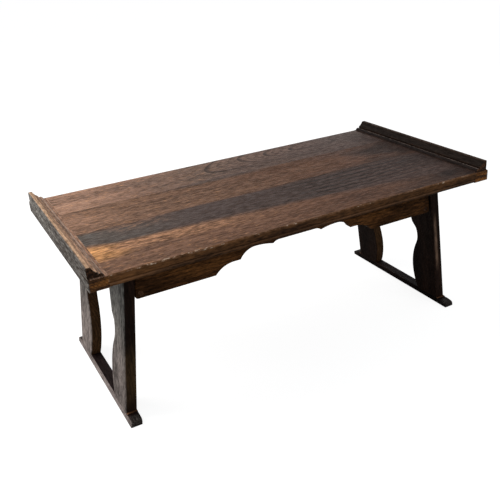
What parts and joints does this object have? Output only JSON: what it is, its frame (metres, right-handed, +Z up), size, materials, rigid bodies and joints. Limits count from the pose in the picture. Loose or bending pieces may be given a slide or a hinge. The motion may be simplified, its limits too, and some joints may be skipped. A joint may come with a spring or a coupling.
{
  "type": "folding coffee table",
  "caption": "Low folding table of dark scorched wood with raised end lips, cusped aprons and two splayed leg frames that fold inward under the top.",
  "frame": {"origin": "on the floor under the centre of the table top, with the leg frames open", "axes": "+X along the length to the right, +Y from the front to the back, +Z up"},
  "size_m": [0.8, 0.4, 0.3285],
  "materials": {
    "back_plank": "satin, scorched and brushed",
    "rear_middle_plank": "satin, scorched and brushed",
    "front_middle_plank": "satin, scorched and brushed",
    "front_plank": "satin, scorched and brushed",
    "end_pieces": "satin, scorched and brushed",
    "lips": "satin, scorched and brushed",
    "aprons": "satin, scorched and brushed",
    "legs": "satin, scorched and brushed",
    "feet": "satin, scorched and brushed",
    "rails": "satin, scorched and brushed",
    "pivot_pins": "oiled hardwood",
    "blocks": "raw wood",
    "pegs": "raw wood",
    "screws": "plain"
  },
  "bodies": {
    "table_top": {"back_apron": "aprons", "back_glue_blocks": "blocks", "back_joint_pins": "pegs", "back_plank": "back_plank", "front_apron": "aprons", "front_glue_blocks": "blocks", "front_joint_pins": "pegs", "front_middle_plank": "front_middle_plank", "front_plank": "front_plank", "left_end_pegs": "pegs", "left_end_piece": "end_pieces", "left_lip": "lips", "left_lip_screws": "screws", "middle_joint_pins": "pegs", "rear_middle_plank": "rear_middle_plank", "right_end_pegs": "pegs", "right_end_piece": "end_pieces", "right_lip": "lips", "right_lip_screws": "screws"},
    "left_leg_frame": {"left_back_leg": "legs", "left_back_pivot_pin": "pivot_pins", "left_foot": "feet", "left_foot_screws": "screws", "left_front_leg": "legs", "left_front_pivot_pin": "pivot_pins", "left_pivot_rail": "rails", "left_rail_dowels": "pegs"},
    "right_leg_frame": {"right_back_leg": "legs", "right_back_pivot_pin": "pivot_pins", "right_foot": "feet", "right_foot_screws": "screws", "right_front_leg": "legs", "right_front_pivot_pin": "pivot_pins", "right_pivot_rail": "rails", "right_rail_dowels": "pegs"}
  },
  "joints": [
    {"name": "left_leg_fold", "type": "hinge", "parent": "table_top", "child": "left_leg_frame", "pos_m": [-0.30416, 0, 0.2281], "axis": [0, -1, 0], "range_deg": [0, 97]},
    {"name": "right_leg_fold", "type": "hinge", "parent": "table_top", "child": "right_leg_frame", "pos_m": [0.30416, 0, 0.2281], "axis": [0, 1, 0], "range_deg": [0, 97]}
  ]
}
